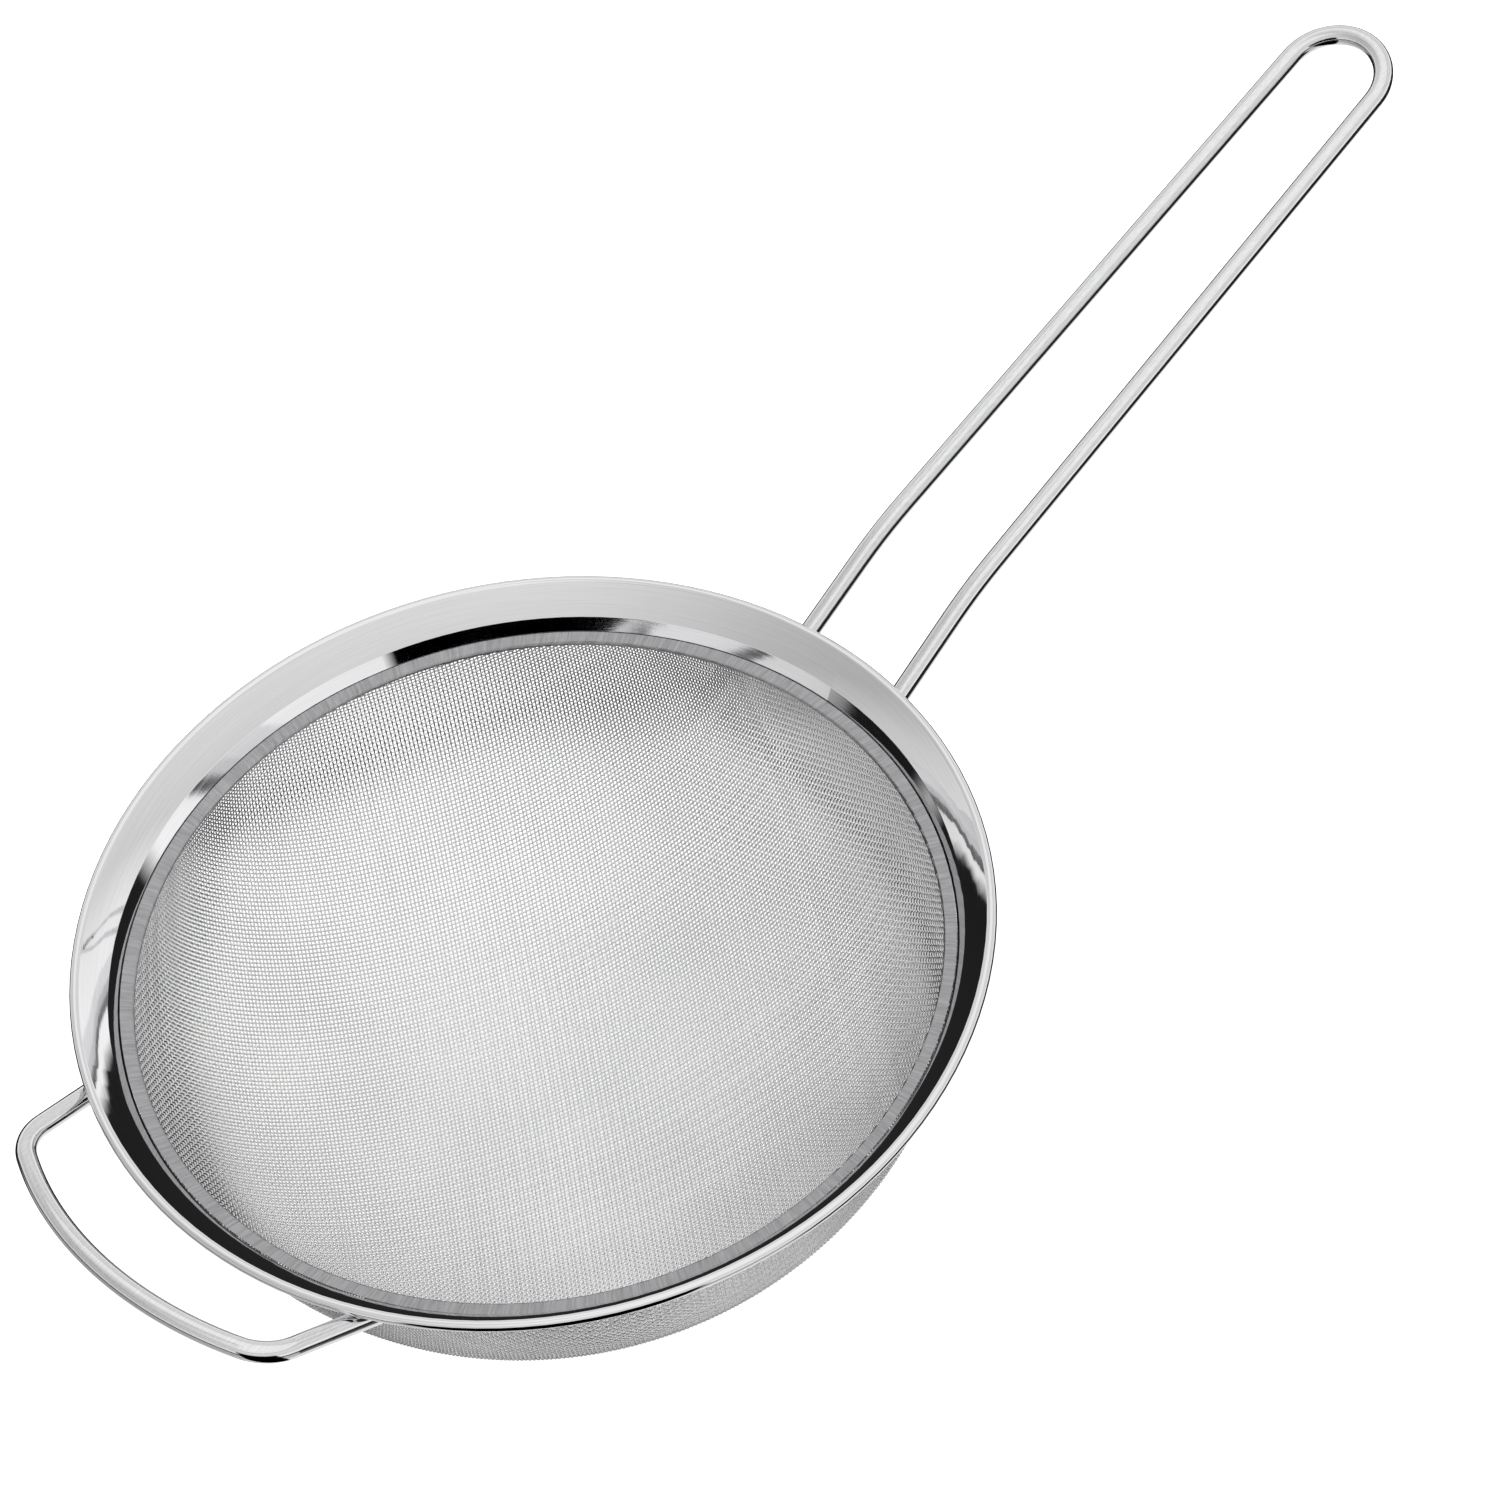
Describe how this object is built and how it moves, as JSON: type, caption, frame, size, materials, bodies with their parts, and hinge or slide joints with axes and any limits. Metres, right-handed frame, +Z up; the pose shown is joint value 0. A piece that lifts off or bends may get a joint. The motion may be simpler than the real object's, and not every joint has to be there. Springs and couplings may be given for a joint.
{
  "type": "fine mesh strainer",
  "caption": "Round fine-mesh strainer with a flanged steel rim, a long wire loop handle and a wire rest loop opposite it.",
  "frame": {"origin": "centre of the rim, level with the middle of its rolled lip", "axes": "+X from the rim's centre towards the handle's end, +Z up out of the bowl, +Y to the left seen from behind the bowl"},
  "size_m": [0.4014, 0.2, 0.1357],
  "materials": {
    "rim_steel": "mirror polished stainless steel with fine wiping marks",
    "wire_steel": "drawn and polished stainless steel wire",
    "band_steel": "matt rolled stainless steel with pressing marks",
    "mesh_steel": "bright drawn stainless steel wire cloth",
    "weld_steel": "ground weld with a faint straw tint"
  },
  "bodies": {
    "root": {"rim": "rim_steel", "clamp_band": "band_steel", "mesh_bowl": "mesh_steel", "handle": "wire_steel", "rest_loop": "wire_steel", "handle_welds": "weld_steel", "rest_loop_welds": "weld_steel"}
  },
  "joints": []
}
